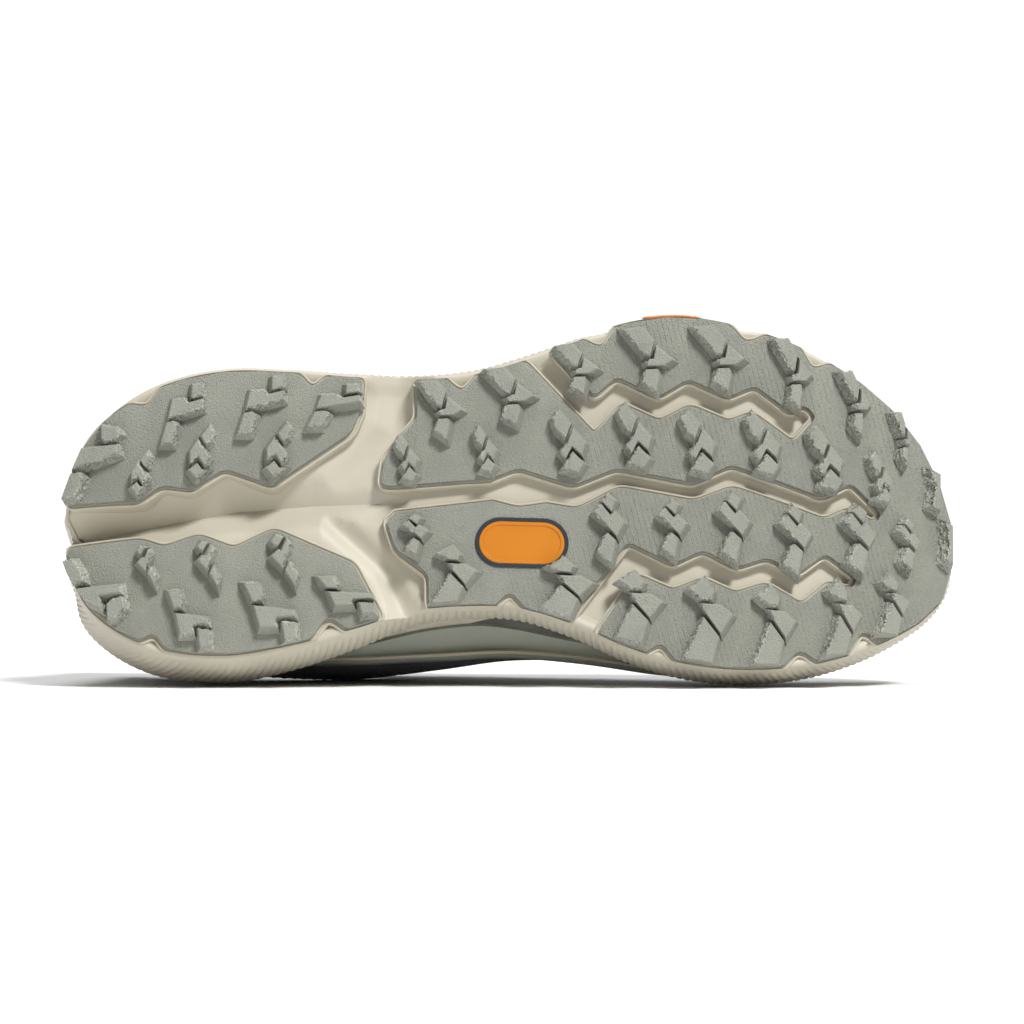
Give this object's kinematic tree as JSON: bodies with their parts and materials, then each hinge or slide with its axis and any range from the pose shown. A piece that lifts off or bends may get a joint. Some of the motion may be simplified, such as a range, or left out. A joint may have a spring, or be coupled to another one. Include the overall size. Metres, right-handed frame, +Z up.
{
  "type": "trail running shoe",
  "caption": "Right trail running shoe lying on its medial side, with a lugged rubber outsole in three pieces, ribbed foam midsole and hollow mesh upper.",
  "frame": {"origin": "on the floor, under the middle of the shoe's box as it lies on its medial side", "axes": "+X from heel to toe, -Y the way the sole faces, +Z up from the floor towards the lateral edge"},
  "size_m": [0.3008, 0.1328, 0.1274],
  "materials": {
    "outsole_rubber": "matt moulded rubber, sandy grain",
    "midsole_foam": "matt moulded foam with a slight skin",
    "badge_rim": "matt dark film",
    "badge_orange": "satin orange film",
    "strip_orange": "satin orange film",
    "upper_mesh": "black woven mesh",
    "tongue_mesh": "padded black mesh",
    "insole_cloth": "brushed knit on foam",
    "rand_film": "glossy grey-green film",
    "overlay_film": "satin welded film",
    "lace_braid": "flat braid"
  },
  "bodies": {
    "root": {"outsole_heel_lateral": "outsole_rubber", "outsole_heel_medial": "outsole_rubber", "outsole_forefoot": "outsole_rubber", "sole_badge_frame": "badge_rim", "sole_badge_face": "badge_orange", "side_wrap": "outsole_rubber", "side_badge": "strip_orange", "midsole": "midsole_foam", "upper": "upper_mesh", "tongue": "tongue_mesh", "insole": "insole_cloth", "rand": "rand_film", "toe_cap": "overlay_film", "heel_counter": "overlay_film", "eyestay": "overlay_film", "laces": "lace_braid"}
  },
  "joints": []
}
